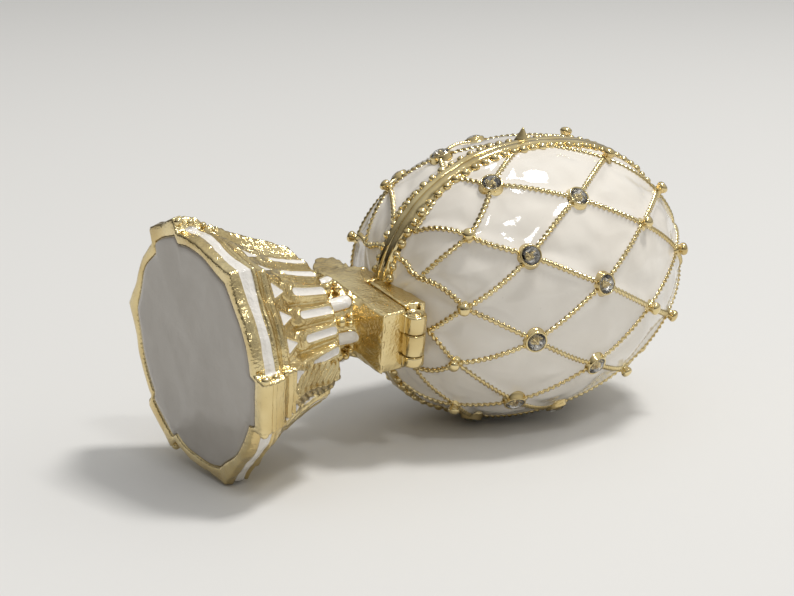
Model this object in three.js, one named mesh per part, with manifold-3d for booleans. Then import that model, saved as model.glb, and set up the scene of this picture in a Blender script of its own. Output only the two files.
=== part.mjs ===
// Jewelled egg trinket box: an enamelled egg in two hinged halves, on a fluted three-cornered foot.
//
// Millimetres, +Z up. The origin is the centre of the foot's underside. The egg splits on the plane
// y = 0: its back half (+Y) is fixed to the foot, and its front half (-Y) is the lid, which swings
// forward and down on a small barrel hinge under the egg.

import * as THREE from "three";
import { mergeVertices } from "three/addons/utils/BufferGeometryUtils.js";
import Module from "manifold-3d";

const wasm = await Module();
wasm.setup();

// --- Driving dimensions -------------------------------------------------------------------------

const TOUCH_GAP = 0.3; // between pieces that rest on each other

const EGG = {
  radius: 19.0, // over the enamel
  middle: 50.2, // height of the widest section
  top: 27.0, // from the widest section up to the pole
  bottom: 21.5, // and down to the lower pole
  topPower: 2.06, // superellipse powers of the two ends
  bottomPower: 2.24,
  wall: 1.4,
};

// The wire lattice. Its nodes stand on level rows, one step of 36 degrees apart, and every other row
// is shifted by half a step. Steps run from the seam at -X (step 0) round the front to +X (step 5).
const LATTICE = {
  rowHeights: [30.5, 35.2, 41.6, 51.7, 60.6, 68.75, 74.0],
  steps: 10,
  wireHeight: 0.35,
  wireShare: 0.05, // half width of a wire, as a share of the distance to the next one
  pillow: 0.12, // how far the enamel swells between the wires
  lowRowDrop: 6.9, // degrees that the middle nodes of row 1 hang lower
  neckFan: 0.3, // steps by which the wires under row 1 spread toward the seam
  knobRows: [1, 4, 5], // rows whose crossings carry a knob
  stoneRows: [2, 3], // and a stone
};

const SEAM = { gap: 0.3, bandWidth: 1.0, bandHeight: 0.8 };
const KNOB_HEIGHT = 1.25; // of the knobs at the crossings that carry no stone
const COLLAR = { radius: 1.5, bore: 1.25, height: 0.65, root: 0.4, floor: 0.37, sides: 6 };
const STONE = { radius: 1.1, table: 0.65, girdle: 0.7, crown: 1.0, seat: 0.45 };
const SPIKE = { radius: 0.9, height: 1.7 };

const FOOT = {
  columns: 72,
  corners: 3,
  facetHalfAngle: 10, // degrees of a clipped corner, each side of its middle
  facetReach: 16.95, // from the axis to the middle of a clipped corner
  sideRadius: 15.5, // of the long stretch between a corner and a point
  pointRise: 1.6, // how far the ogee point in the middle of each side stands out
  pointHalfAngle: 12,
  flutes: 24,
  leafWidth: 30, // degrees that a corner leaf takes from the flutes
  leafOffset: 15, // its middle, past the middle of the corner
  petals: 6,
  petalTurn: 218, // direction of the first petal, in degrees
};
const PANEL = { radius: 14.2, thickness: 0.8 };

const BRACKET = { halfWidth: 4.2, front: -9.5, back: 6.5, bottom: 22.5, top: 26.3 };
const HINGE = {
  y: -10.2,
  z: 27.0,
  barrelRadius: 1.6,
  boreRadius: 0.72,
  pinRadius: 0.52,
  ends: [-3.8, -1.3, 2.0, 3.4], // where the knuckles start and stop along X
  play: 0.12, // between neighbouring knuckles, at each end of the middle one
  clearance: 0.35, // between a knuckle and what swings past it
};

// --- Materials ----------------------------------------------------------------------------------

const gold = () => new THREE.MeshStandardMaterial({ color: 0xd9bd78, roughness: 0.28, metalness: 1.0 });
const enamel = () => new THREE.MeshStandardMaterial({ color: 0xe9e4dc, roughness: 0.12, metalness: 0.0 });
const crystal = () => new THREE.MeshStandardMaterial({ color: 0xc9cfd6, roughness: 0.03, metalness: 0.0 });

// --- Solids -------------------------------------------------------------------------------------

/** A closed geometry as a manifold solid: shared corners merged, collapsed triangles dropped. */
function toSolid(geometry) {
  const bare = geometry.clone();
  bare.deleteAttribute("normal");
  bare.deleteAttribute("uv");
  const merged = mergeVertices(bare, 1e-4);
  const index = merged.index.array;
  const kept = [];
  for (let i = 0; i < index.length; i += 3) {
    const [a, b, c] = [index[i], index[i + 1], index[i + 2]];
    if (a !== b && b !== c && c !== a) {
      kept.push(a, b, c);
    }
  }
  const mesh = new wasm.Mesh({
    numProp: 3,
    vertProperties: new Float32Array(merged.attributes.position.array),
    triVerts: new Uint32Array(kept),
  });
  return new wasm.Manifold(mesh);
}

/** A manifold solid as a three.js geometry. */
function toGeometry(solid) {
  const mesh = solid.getMesh();
  const geometry = new THREE.BufferGeometry();
  geometry.setAttribute("position", new THREE.BufferAttribute(mesh.vertProperties, 3));
  geometry.setIndex(new THREE.BufferAttribute(mesh.triVerts, 1));
  geometry.computeVertexNormals();
  return geometry;
}

function fuse(solids) {
  return solids.reduce((whole, piece) => whole.add(piece));
}

/** A solid box between two corners. */
function block(low, high) {
  const size = high.map((value, axis) => value - low[axis]);
  const geometry = new THREE.BoxGeometry(...size);
  geometry.translate(...low.map((value, axis) => value + size[axis] / 2));
  return toSolid(geometry);
}

/** A solid turned about Z from a profile of [radius, height] points that starts and ends on the axis. */
function turned(profile, segments) {
  const points = profile.map(([radius, height]) => new THREE.Vector2(radius, height));
  const geometry = new THREE.LatheGeometry(points, segments);
  return geometry.rotateX(Math.PI / 2);
}

/** A solid cylinder along X. */
function rodAlongX(radius, from, to, y, z, sides = 16) {
  const geometry = new THREE.CylinderGeometry(radius, radius, to - from, sides);
  geometry.rotateZ(Math.PI / 2);
  geometry.translate((from + to) / 2, y, z);
  return toSolid(geometry);
}

/** A solid with an outline of [y, z] points, from x = -halfWidth to x = +halfWidth. */
function prismAcrossX(outline, halfWidth) {
  const shape = new THREE.Shape(outline.map(([y, z]) => new THREE.Vector2(y, z)));
  const geometry = new THREE.ExtrudeGeometry(shape, { depth: 2 * halfWidth, bevelEnabled: false });
  geometry.translate(0, 0, -halfWidth);
  // The outline's axes become Y and Z, and the extrusion runs along X.
  geometry.applyMatrix4(new THREE.Matrix4().makeBasis(
    new THREE.Vector3(0, 1, 0),
    new THREE.Vector3(0, 0, 1),
    new THREE.Vector3(1, 0, 0),
  ));
  return toSolid(geometry);
}

// --- Egg surface --------------------------------------------------------------------------------

/** Radius and height of the egg at a latitude in radians, lifted off the enamel by `lift`. */
function eggSection(latitude, lift = 0) {
  const upper = latitude > 0;
  const reach = upper ? EGG.top : EGG.bottom;
  const power = upper ? EGG.topPower : EGG.bottomPower;
  const cos = Math.max(Math.cos(latitude), 0);
  const sin = Math.abs(Math.sin(latitude));
  const radius = EGG.radius * cos ** (2 / power);
  const rise = reach * sin ** (2 / power);
  const sign = upper ? 1 : -1;
  const normal = new THREE.Vector2(
    (radius / EGG.radius) ** (power - 1) / EGG.radius,
    (sign * (rise / reach) ** (power - 1)) / reach,
  ).normalize();
  return { radius: radius + lift * normal.x, height: EGG.middle + sign * rise + lift * normal.y, normal };
}

/** The latitude at which the egg's surface passes a height. */
function latitudeOfHeight(height) {
  const rise = height - EGG.middle;
  const upper = rise > 0;
  const share = Math.abs(rise) / (upper ? EGG.top : EGG.bottom);
  const power = upper ? EGG.topPower : EGG.bottomPower;
  return (upper ? 1 : -1) * Math.asin(share ** (power / 2));
}

const ROW_LATITUDES = LATTICE.rowHeights.map(latitudeOfHeight);
const TOP_ROW = LATTICE.rowHeights.length; // the upper pole counts as the next row
const BOTTOM_ROW = -1; // and the lower pole as the one before row 0

/** Latitude of a point between the rows; both poles are reached at the end rows. */
function rowLatitude(row) {
  const stops = [-Math.PI / 2, ...ROW_LATITUDES, Math.PI / 2];
  const place = THREE.MathUtils.clamp(row, BOTTOM_ROW, TOP_ROW) - BOTTOM_ROW;
  const below = Math.min(Math.floor(place), stops.length - 2);
  return THREE.MathUtils.lerp(stops[below], stops[below + 1], place - below);
}

/** Outward frame of the egg at lattice coordinates (row, step): point, normal and direction. */
function eggPlace(row, step, lift = 0) {
  const half = LATTICE.steps / 2;
  const inHalf = ((step % half) + half) % half;
  const fromMiddle = Math.abs(inHalf - half / 2);
  const nearRowOne = Math.max(0, 1 - Math.abs(row - 1));
  const drop = LATTICE.lowRowDrop * nearRowOne * THREE.MathUtils.clamp(1.5 - fromMiddle, 0, 1);
  const nearNeck = THREE.MathUtils.clamp(1 - row, 0, 1);
  const spread = LATTICE.neckFan * nearNeck * Math.sin((2 * Math.PI * (half / 2 - inHalf)) / half);
  const angle = ((step - spread) * 2 * Math.PI) / LATTICE.steps;
  const section = eggSection(rowLatitude(row) - THREE.MathUtils.degToRad(drop), lift);
  const outward = new THREE.Vector3(-Math.cos(angle), -Math.sin(angle), 0);
  const point = outward.clone().multiplyScalar(section.radius).setZ(section.height);
  const normal = outward.clone().multiplyScalar(section.normal.x).setZ(section.normal.y);
  return { point, normal };
}

/** A plain egg, larger or smaller than the enamel by `lift`. */
function plainEgg(lift, segments = 20, rings = 12) {
  const profile = [];
  for (let ring = 0; ring <= rings; ring += 1) {
    const section = eggSection(((ring / rings) - 0.5) * Math.PI, lift);
    const onAxis = ring === 0 || ring === rings;
    profile.push([onAxis ? 0 : section.radius, section.height]);
  }
  return toSolid(turned(profile, segments));
}

/** True where a lattice place lies on the seam between the two halves. */
function onSeam(step) {
  return (2 * step) % LATTICE.steps === 0;
}

/** The whole egg's outer skin: one patch for each lattice cell, with wires standing along its edges. */
function latticeEgg() {
  const wire = LATTICE.wireShare;
  const samples = [0, wire, 0.5, 1 - wire, 1];
  const positions = [];
  const liftAt = (s, t, row, step) => {
    const onWire = samples[s] % 1 === 0 || samples[t] % 1 === 0;
    const onCrossing = samples[s] % 1 === 0 && samples[t] % 1 === 0;
    if (onCrossing && LATTICE.knobRows.includes(row) && !onSeam(step)) {
      return KNOB_HEIGHT;
    }
    if (onWire) {
      return LATTICE.wireHeight;
    }
    return samples[s] === 0.5 && samples[t] === 0.5 ? LATTICE.pillow : 0;
  };
  for (let row = BOTTOM_ROW; row <= TOP_ROW; row += 1) {
    for (let cell = 0; cell < LATTICE.steps; cell += 1) {
      const step = cell + (row % 2 === 0 ? 0 : 0.5);
      const corner = (s, t) => {
        const at = row - 1 + samples[s] + samples[t];
        const along = step + (samples[s] - samples[t]) / 2;
        const beyond = at <= BOTTOM_ROW || at >= TOP_ROW;
        const lift = beyond ? 0 : liftAt(s, t, at, along);
        const place = eggPlace(at, along, lift).point;
        return beyond ? place.setX(0).setY(0) : place;
      };
      for (let s = 0; s + 1 < samples.length; s += 1) {
        for (let t = 0; t + 1 < samples.length; t += 1) {
          const quad = [corner(s, t), corner(s + 1, t), corner(s + 1, t + 1), corner(s, t + 1)];
          for (const vertex of [0, 1, 2, 0, 2, 3]) {
            positions.push(...quad[vertex]);
          }
        }
      }
    }
  }
  const geometry = new THREE.BufferGeometry();
  geometry.setAttribute("position", new THREE.Float32BufferAttribute(positions, 3));
  return toSolid(geometry);
}

// --- Egg trimmings ------------------------------------------------------------------------------

/** Moves a geometry made along +Z out to a lattice place, standing on the egg's surface. */
function standOnEgg(geometry, row, step) {
  const { point, normal } = eggPlace(row, step);
  const turn = new THREE.Quaternion().setFromUnitVectors(new THREE.Vector3(0, 0, 1), normal);
  geometry.applyQuaternion(turn);
  geometry.translate(...point);
  return geometry;
}

/** The cup that holds a stone. */
function collar(row, step) {
  const { radius, bore, height, root, floor, sides } = COLLAR;
  const profile = [[0, -root], [radius, -root], [radius, height], [bore, height], [bore, floor], [0, floor]];
  return toSolid(standOnEgg(turned(profile, sides), row, step));
}

/** A faceted stone that sits in its collar. */
function stone(row, step) {
  const { radius, table, girdle, crown, seat } = STONE;
  const profile = [[0, seat], [radius, girdle], [radius * table, crown], [0, crown]];
  return toSolid(standOnEgg(turned(profile, COLLAR.sides), row, step));
}

/** A disc in the plane of the seam that stands `height` off the egg, between two places along Y. */
function seamDisc(height, from, to) {
  const outline = [];
  const points = 48;
  for (let i = 0; i < points; i += 1) {
    const around = (i / points) * 2 * Math.PI;
    const section = eggSection(Math.asin(Math.sin(around)), height);
    outline.push(new THREE.Vector2(Math.sign(Math.cos(around)) * section.radius, section.height));
  }
  const geometry = new THREE.ExtrudeGeometry(new THREE.Shape(outline), { depth: to - from, bevelEnabled: false });
  geometry.rotateX(Math.PI / 2);
  geometry.translate(0, to, 0);
  return toSolid(geometry);
}

/** Lattice places of the stones on the half that starts at step `first`, row by row. */
function stonePlaces(first) {
  const places = [];
  for (const row of LATTICE.stoneRows) {
    for (let step = row % 2 === 0 ? 0.5 : 1; step < LATTICE.steps / 2; step += 1) {
      places.push([row, first + step]);
    }
  }
  return places;
}

/** One half of the egg with its lattice, collars and seam band. `side` is -1 or +1. */
function halfShell(side, skin, hollow) {
  const across = (from, to) => [side * from, side * to].sort((a, b) => a - b);
  const far = EGG.radius + 10;
  const edge = SEAM.gap / 2;
  const bandEnd = edge + SEAM.bandWidth;
  const [near, away] = across(bandEnd, far);
  const first = side < 0 ? 0 : LATTICE.steps / 2;
  const pieces = [
    skin.intersect(block([-far, near, 0], [far, away, 100])),
    seamDisc(SEAM.bandHeight, ...across(edge, bandEnd)),
    ...stonePlaces(first).map(([row, step]) => collar(row, step)),
  ];
  return fuse(pieces).subtract(hollow);
}

// --- Foot ---------------------------------------------------------------------------------------

/** How far the foot's outline stands outside its side radius, by direction in degrees. */
function outlineRise(direction) {
  const sector = 360 / FOOT.corners;
  const turn = (((direction - 270) % sector) + sector) % sector;
  const fromCorner = Math.min(turn, sector - turn);
  if (fromCorner <= FOOT.facetHalfAngle) {
    return FOOT.facetReach / Math.cos(THREE.MathUtils.degToRad(fromCorner)) - FOOT.sideRadius;
  }
  const fromPoint = sector / 2 - fromCorner;
  return FOOT.pointRise * Math.max(0, 1 - fromPoint / FOOT.pointHalfAngle) ** 1.5;
}

/** 1 on a corner leaf's midrib, falling to 0 at its edges. */
function leafRise(direction) {
  const sector = 360 / FOOT.corners;
  const turn = (((direction - 270 - FOOT.leafOffset) % sector) + sector) % sector;
  const fromMiddle = Math.min(turn, sector - turn);
  return Math.max(0, 1 - fromMiddle / (FOOT.leafWidth / 2));
}

/** 1 in the bed of a flute, 0 on the ridges between flutes and on the leaves. */
function fluteDepth(direction) {
  const pitch = 360 / FOOT.flutes;
  const onRidge = Math.abs(direction / pitch - Math.round(direction / pitch)) < 0.05;
  return onRidge || leafRise(direction) > 0.01 ? 0 : 1;
}

/** 1 on the neck's petals, 0 in the gaps between them. */
function petalRise(direction) {
  const pitch = 360 / FOOT.petals;
  const turn = (((direction - FOOT.petalTurn) % pitch) + pitch) % pitch;
  return Math.min(turn, pitch - turn) < pitch / 4 ? 1 : 0;
}

/** Distance from the axis to the bracket's outline, by direction in degrees. */
function bracketReach(direction) {
  const angle = THREE.MathUtils.degToRad(direction);
  const across = BRACKET.halfWidth / Math.max(Math.abs(Math.cos(angle)), 1e-6);
  const along = (Math.sin(angle) < 0 ? -BRACKET.front : BRACKET.back) / Math.max(Math.abs(Math.sin(angle)), 1e-6);
  return Math.min(across, along);
}

// Levels of the foot from the floor up: height, radius between corner and point, then how strongly
// the outline's corners and points, the flutes, the leaves, the petals and the bracket show there.
const FOOT_LEVELS = [
  { z: 0, radius: 15.4, ogee: 1 },
  { z: 1.3, radius: 15.6, ogee: 1 },
  { z: 1.9, radius: 15.25, ogee: 1 },
  { z: 3.4, radius: 15.1, ogee: 1 },
  { z: 5.1, radius: 13.7, ogee: 0.95 },
  { z: 5.7, radius: 13.8, ogee: 0.9 },
  { z: 7.8, radius: 12.6, ogee: 0.7, leaf: 0.5 },
  { z: 10.0, radius: 11.7, ogee: 0.45, flute: 0.35, leaf: 0.9 },
  { z: 13.0, radius: 10.6, ogee: 0.25, flute: 0.45, leaf: 1.0 },
  { z: 15.2, radius: 10.0, ogee: 0.1, flute: 0.45, leaf: 0.7 },
  { z: 15.9, radius: 9.6, ogee: 0, leaf: 0.2 },
  { z: 16.2, radius: 8.8, ogee: 0 },
  { z: 16.6, radius: 5.2, ogee: 0, petal: 0.2 },
  { z: 18.5, radius: 5.1, ogee: 0, petal: 0.6 },
  { z: 20.6, radius: 5.3, ogee: 0, petal: 0.5 },
  { z: 21.6, radius: 5.5, ogee: 0, bracket: 0.3 },
  { z: 22.7, radius: 5.5, ogee: 0, bracket: 0.97 },
];

function footRadius(level, direction) {
  const { radius, ogee = 0, flute = 0, leaf = 0, petal = 0, bracket = 0 } = level;
  const shaped = radius + ogee * outlineRise(direction) - flute * fluteDepth(direction)
    + leaf * 0.7 * leafRise(direction) + petal * petalRise(direction);
  return THREE.MathUtils.lerp(shaped, bracketReach(direction), bracket);
}

/** Foot, bell and neck as one turned body whose every level is pushed out to its own outline. */
function footBody() {
  const first = FOOT_LEVELS[0];
  const last = FOOT_LEVELS[FOOT_LEVELS.length - 1];
  const profile = [[0, first.z], ...FOOT_LEVELS.map((level) => [level.radius, level.z]), [0, last.z]];
  const geometry = turned(profile, FOOT.columns);
  const position = geometry.attributes.position;
  const point = new THREE.Vector3();
  for (let i = 0; i < position.count; i += 1) {
    point.fromBufferAttribute(position, i);
    const level = FOOT_LEVELS[(i % profile.length) - 1];
    if (level) {
      const column = Math.floor(i / profile.length) % FOOT.columns;
      const direction = 270 + (column * 360) / FOOT.columns;
      const angle = THREE.MathUtils.degToRad(direction);
      const radius = footRadius(level, direction);
      position.setXYZ(i, radius * Math.cos(angle), radius * Math.sin(angle), level.z);
    } else {
      position.setXYZ(i, 0, 0, point.z);
    }
  }
  return toSolid(geometry);
}

/** The bar under the egg, with the saddle that carries the back half. */
function bracketBody() {
  const { halfWidth, front, back, bottom, top } = BRACKET;
  const outline = [
    [front, bottom],
    [back - 2, bottom],
    [back, bottom + 0.9],
    [back + 0.9, bottom + 2.6],
    [back + 0.9, bottom + 5.4],
    [back - 0.5, top + 4],
    [SEAM.gap / 2, top + 3.5],
    [SEAM.gap / 2, top],
    [front, top],
  ];
  const middle = rodAlongX(HINGE.barrelRadius + HINGE.clearance, HINGE.ends[1] - HINGE.play,
    HINGE.ends[2] + HINGE.play, HINGE.y, HINGE.z);
  return prismAcrossX(outline, halfWidth).subtract(plainEgg(SEAM.bandHeight + 0.15, 36, 28)).subtract(middle);
}

/** Barrel knuckle between two places along X, without its bore. */
function knuckle(from, to) {
  return rodAlongX(HINGE.barrelRadius, from, to, HINGE.y, HINGE.z);
}

function hingeBore() {
  return rodAlongX(HINGE.boreRadius, HINGE.ends[0] - 1, HINGE.ends[3] + 1, HINGE.y, HINGE.z, 12);
}

/** The foot with its neck, bracket and the two outer knuckles. */
function pedestal() {
  const { ends } = HINGE;
  const recess = turned([[0, -1], [PANEL.radius + 0.2, -1], [PANEL.radius + 0.2, PANEL.thickness + 0.2],
    [0, PANEL.thickness + 0.2]], 36);
  return fuse([footBody(), bracketBody(), knuckle(ends[0], ends[1]), knuckle(ends[2], ends[3])])
    .subtract(toSolid(recess))
    .subtract(hingeBore());
}

/** The enamelled panel that closes the underside of the foot. */
function basePanel() {
  return turned([[0, 0], [PANEL.radius, 0], [PANEL.radius, PANEL.thickness], [0, PANEL.thickness]], 36);
}

// --- Lid ----------------------------------------------------------------------------------------

/** The plate under the lid, and the arm and knuckle that it swings on. */
function lidLug() {
  const { halfWidth, top } = BRACKET;
  const { ends, y, z, barrelRadius, clearance, play } = HINGE;
  const under = top + TOUCH_GAP;
  const front = y + barrelRadius + clearance;
  const seamFace = -SEAM.gap / 2;
  const plate = prismAcrossX([[front, under], [seamFace, under], [seamFace, under + 4], [front, under + 3.4]],
    halfWidth);
  const arm = block([ends[1] + play, y, z - 0.3], [ends[2] - play, front + 0.5, z + barrelRadius]);
  return fuse([plate, arm, knuckle(ends[1] + play, ends[2] - play)]);
}

/** The pin, which stands out a little at both ends of the barrel. */
function hingePin() {
  return rodAlongX(HINGE.pinRadius, HINGE.ends[0] - 0.1, HINGE.ends[3] + 0.1, HINGE.y, HINGE.z, 12);
}

/** Pointed boss on the back half's seam band, at the -X side in the third row. */
function spike() {
  const section = eggSection(ROW_LATITUDES[3], SEAM.bandHeight);
  const geometry = turned([[0, -0.6], [SPIKE.radius, -0.6], [SPIKE.radius, 0], [0, SPIKE.height]], 8);
  geometry.rotateY(-Math.PI / 2);
  geometry.translate(-section.radius, SEAM.gap / 2 + SPIKE.radius, section.height);
  return toSolid(geometry);
}

// --- Assembly -----------------------------------------------------------------------------------

const box = new THREE.Group();

function place(name, geometry, material) {
  const mesh = new THREE.Mesh(geometry, material);
  mesh.name = name;
  box.add(mesh);
}

const skin = latticeEgg();
const hollow = plainEgg(-EGG.wall);

place("pedestal", toGeometry(pedestal()), gold());
place("base_panel", toGeometry(toSolid(basePanel())), enamel());
place("hinge_pin", toGeometry(hingePin()), gold());
place("egg_back_shell", toGeometry(halfShell(1, skin, hollow).add(spike())), enamel());
place("egg_lid_shell", toGeometry(halfShell(-1, skin, hollow).add(lidLug()).subtract(hollow).subtract(hingeBore())),
  enamel());

for (const [half, first] of [["back", LATTICE.steps / 2], ["lid", 0]]) {
  stonePlaces(first).forEach(([row, step], index) => {
    const number = String(index + 1).padStart(2, "0");
    place(`${half}_crystal_${number}`, toGeometry(stone(row, step)), crystal());
  });
}

export default box;
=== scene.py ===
"""Visual model of a jewelled egg trinket box: enamel under twisted gold wire, set stones, fluted foot."""

import logging
import math
from dataclasses import dataclass
from enum import Enum

import bmesh
import bpy
import numpy as np
from mathutils import Matrix, Vector


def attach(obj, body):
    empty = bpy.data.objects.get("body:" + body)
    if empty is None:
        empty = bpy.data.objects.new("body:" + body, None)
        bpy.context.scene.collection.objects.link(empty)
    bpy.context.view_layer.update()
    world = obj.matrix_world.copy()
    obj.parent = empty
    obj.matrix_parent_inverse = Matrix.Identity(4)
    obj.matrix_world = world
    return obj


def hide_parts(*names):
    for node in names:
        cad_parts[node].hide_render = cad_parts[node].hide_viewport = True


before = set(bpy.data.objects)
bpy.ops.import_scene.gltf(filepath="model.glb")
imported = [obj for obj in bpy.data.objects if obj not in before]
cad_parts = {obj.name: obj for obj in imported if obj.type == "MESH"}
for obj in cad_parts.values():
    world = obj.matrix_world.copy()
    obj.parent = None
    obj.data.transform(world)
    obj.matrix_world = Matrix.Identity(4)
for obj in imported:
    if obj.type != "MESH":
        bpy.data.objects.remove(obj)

MM = 0.001
TURN = 2.0 * math.pi
# Radius of a turned blank whose points are moved onto the egg afterwards, in millimetres.
BLANK_RADIUS = 10.0
LOG = logging.getLogger("egg_box")
Array = np.ndarray


class Half(Enum):
    """The two halves of the egg, by the side of the seam plane that each one lies on."""

    LID = -1
    BACK = 1

    @property
    def title(self) -> str:
        """First word of the half's piece names."""
        return "lid" if self is Half.LID else "back"

    @property
    def body(self) -> str:
        """Body of the frame that the half rides on."""
        return "lid" if self is Half.LID else "base"

    @property
    def first_step(self) -> float:
        """Lattice step at which the half starts."""
        return 0.0 if self is Half.LID else 5.0


# --- Small numeric helpers ----------------------------------------------------------------------


def smooth(low: float, high: float, value: Array) -> Array:
    """Eases from 0 at low to 1 at high.

    Args:
        low: Value that gives 0.
        high: Value that gives 1.
        value: Where to read the easing.

    Returns:
        The eased values.
    """
    share = np.clip((value - low) / (high - low), 0.0, 1.0)
    return share * share * (3.0 - 2.0 * share)


def bump(value: Array, width: float) -> Array:
    """A round hump, 1 at value 0 and near 0 beyond twice the width."""
    return np.exp(-((value / width) ** 2))


def ripples(points: Array, wavelength: float, seed: int, waves: int = 9) -> Array:
    """A smooth random field, mostly between -1 and 1.

    Args:
        points: Places in millimetres, one row each.
        wavelength: Typical distance between crests, in millimetres.
        seed: Seed of the random directions.
        waves: How many waves are added up.

    Returns:
        One value for each point.
    """
    rng = np.random.default_rng(seed)
    directions = rng.normal(size=(waves, 3))
    directions /= np.linalg.norm(directions, axis=1, keepdims=True)
    numbers = TURN / (wavelength * rng.uniform(0.7, 1.5, waves))
    phases = rng.uniform(0.0, TURN, waves)
    return np.sin(points @ (directions.T * numbers) + phases).sum(axis=1) / math.sqrt(waves)


# --- Mesh helpers -------------------------------------------------------------------------------


def places_of(bm: bmesh.types.BMesh) -> Array:
    """All vertex places of a bmesh, one row each."""
    return np.array([vert.co[:] for vert in bm.verts])


def move_to(bm: bmesh.types.BMesh, places: Array) -> None:
    """Puts every vertex of a bmesh at its row of places."""
    for vert, place in zip(bm.verts, places.tolist()):
        vert.co = place


def spun(profile: list[tuple[float, float]], steps: int, angle: float = TURN, closed: bool = False,
         axis: tuple[float, float, float] = (0.0, 0.0, 1.0)) -> bmesh.types.BMesh:
    """Turns a profile about an axis through the origin.

    Args:
        profile: Points as (distance from the axis, place along it).
        steps: How many steps the turn takes.
        angle: How far it turns, in radians.
        closed: Whether the profile's last point joins its first.
        axis: The axis, +Z or +Y.

    Returns:
        A bmesh with doubled vertices merged and faces pointing out.
    """
    bm = bmesh.new()
    along_y = axis[1] == 1.0
    verts = [bm.verts.new((r, a, 0.0) if along_y else (r, 0.0, a)) for r, a in profile]
    ends = verts[1:] + (verts[:1] if closed else [])
    edges = [bm.edges.new(pair) for pair in zip(verts, ends)]
    full = abs(angle - TURN) < 1e-6
    bmesh.ops.spin(bm, geom=verts + edges, cent=(0, 0, 0), axis=axis, angle=angle, steps=steps,
                   use_merge=full)
    bmesh.ops.remove_doubles(bm, verts=bm.verts, dist=1e-5)
    bmesh.ops.recalc_face_normals(bm, faces=bm.faces)
    return bm


def prism(outline: list[tuple[float, float]], half_width: float, bevel: float,
          cuts: int = 0) -> bmesh.types.BMesh:
    """A bar along X with an outline of (y, z) points and rounded edges.

    Args:
        outline: Corners of the bar's section.
        half_width: Half its length along X.
        bevel: Radius of its edges.
        cuts: How often its faces are divided afterwards.

    Returns:
        The bar.
    """
    bm = bmesh.new()
    face = bm.faces.new([bm.verts.new((-half_width, y, z)) for y, z in outline])
    made = bmesh.ops.extrude_face_region(bm, geom=[face])
    verts = [item for item in made["geom"] if isinstance(item, bmesh.types.BMVert)]
    bmesh.ops.translate(bm, vec=(2 * half_width, 0, 0), verts=verts)
    bmesh.ops.recalc_face_normals(bm, faces=bm.faces)
    sharp = [edge for edge in bm.edges if edge.calc_face_angle(0.0) > math.radians(25)]
    bmesh.ops.bevel(bm, geom=sharp, offset=bevel, segments=3, profile=0.5, affect="EDGES", material=-1)
    if cuts:
        bmesh.ops.triangulate(bm, faces=[face for face in bm.faces if len(face.verts) > 4])
        bmesh.ops.subdivide_edges(bm, edges=bm.edges, cuts=cuts, use_grid_fill=True)
    return bm


def rod(radius: float, start: float, end: float, y: float, z: float, bevel: float) -> bmesh.types.BMesh:
    """A cylinder along X with rounded rims.

    Args:
        radius: Its radius.
        start: Where it starts along X.
        end: Where it ends.
        y: Place of its axis.
        z: Place of its axis.
        bevel: Radius of its rims.

    Returns:
        The cylinder.
    """
    bm = bmesh.new()
    bmesh.ops.create_cone(bm, cap_ends=True, segments=56, radius1=radius, radius2=radius, depth=end - start)
    rims = [edge for edge in bm.edges if edge.calc_face_angle(0.0) > math.radians(60)]
    bmesh.ops.bevel(bm, geom=rims, offset=bevel, segments=3, profile=0.5, affect="EDGES", material=-1)
    turn = Matrix.Translation(((start + end) / 2, y, z)) @ Matrix.Rotation(math.pi / 2, 4, "Y")
    bmesh.ops.transform(bm, matrix=turn, verts=bm.verts)
    return bm


def gathered(parts: list[bmesh.types.BMesh]) -> bmesh.types.BMesh:
    """Joins several bmeshes into the first one.

    Args:
        parts: The bmeshes; all but the first are freed.

    Returns:
        The first, holding them all.
    """
    whole = parts[0]
    for part in parts[1:]:
        mesh = bpy.data.meshes.new("part")
        part.to_mesh(mesh)
        part.free()
        whole.from_mesh(mesh)
        bpy.data.meshes.remove(mesh)
    return whole


def stamped(pattern: bmesh.types.BMesh, frames: list[Matrix]) -> bmesh.types.BMesh:
    """Copies of one small shape at many places.

    Args:
        pattern: The shape, which is freed.
        frames: Where each copy goes.

    Returns:
        All the copies in one bmesh.
    """
    mesh = bpy.data.meshes.new("pattern")
    pattern.to_mesh(mesh)
    pattern.free()
    whole = bmesh.new()
    for frame_matrix in frames:
        copy = mesh.copy()
        copy.transform(frame_matrix)
        whole.from_mesh(copy)
        bpy.data.meshes.remove(copy)
    bpy.data.meshes.remove(mesh)
    return whole


def finished(name: str, bm: bmesh.types.BMesh, materials: list[bpy.types.Material], body: str,
             replaces: tuple[str, ...] = (), flat: bool = False,
             fields: dict[str, Array] | None = None) -> bpy.types.Object:
    """Makes a piece of a bmesh in millimetres and hangs it in the frame.

    Args:
        name: The piece's name.
        bm: Its shape, which is freed.
        materials: Its materials, in the order of its faces' material numbers.
        body: The body it rides on.
        replaces: CAD nodes it stands for.
        flat: Whether its facets stay sharp.
        fields: Values for its vertices, by attribute name.

    Returns:
        The piece.
    """
    bmesh.ops.scale(bm, vec=(MM, MM, MM), verts=bm.verts)
    mesh = bpy.data.meshes.new(name)
    bm.to_mesh(mesh)
    bm.free()
    for material in materials:
        mesh.materials.append(material)
    for key, values in (fields or {}).items():
        mesh.attributes.new(key, "FLOAT", "POINT").data.foreach_set("value", values.astype(np.float32))
    if not flat:
        mesh.shade_smooth()
    piece = bpy.data.objects.new(name, mesh)
    bpy.context.scene.collection.objects.link(piece)
    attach(piece, body)
    if replaces:
        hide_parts(*replaces)
    LOG.info("%s: %d faces on %s", name, len(mesh.polygons), body)
    return piece


# --- Finishes -----------------------------------------------------------------------------------


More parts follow.
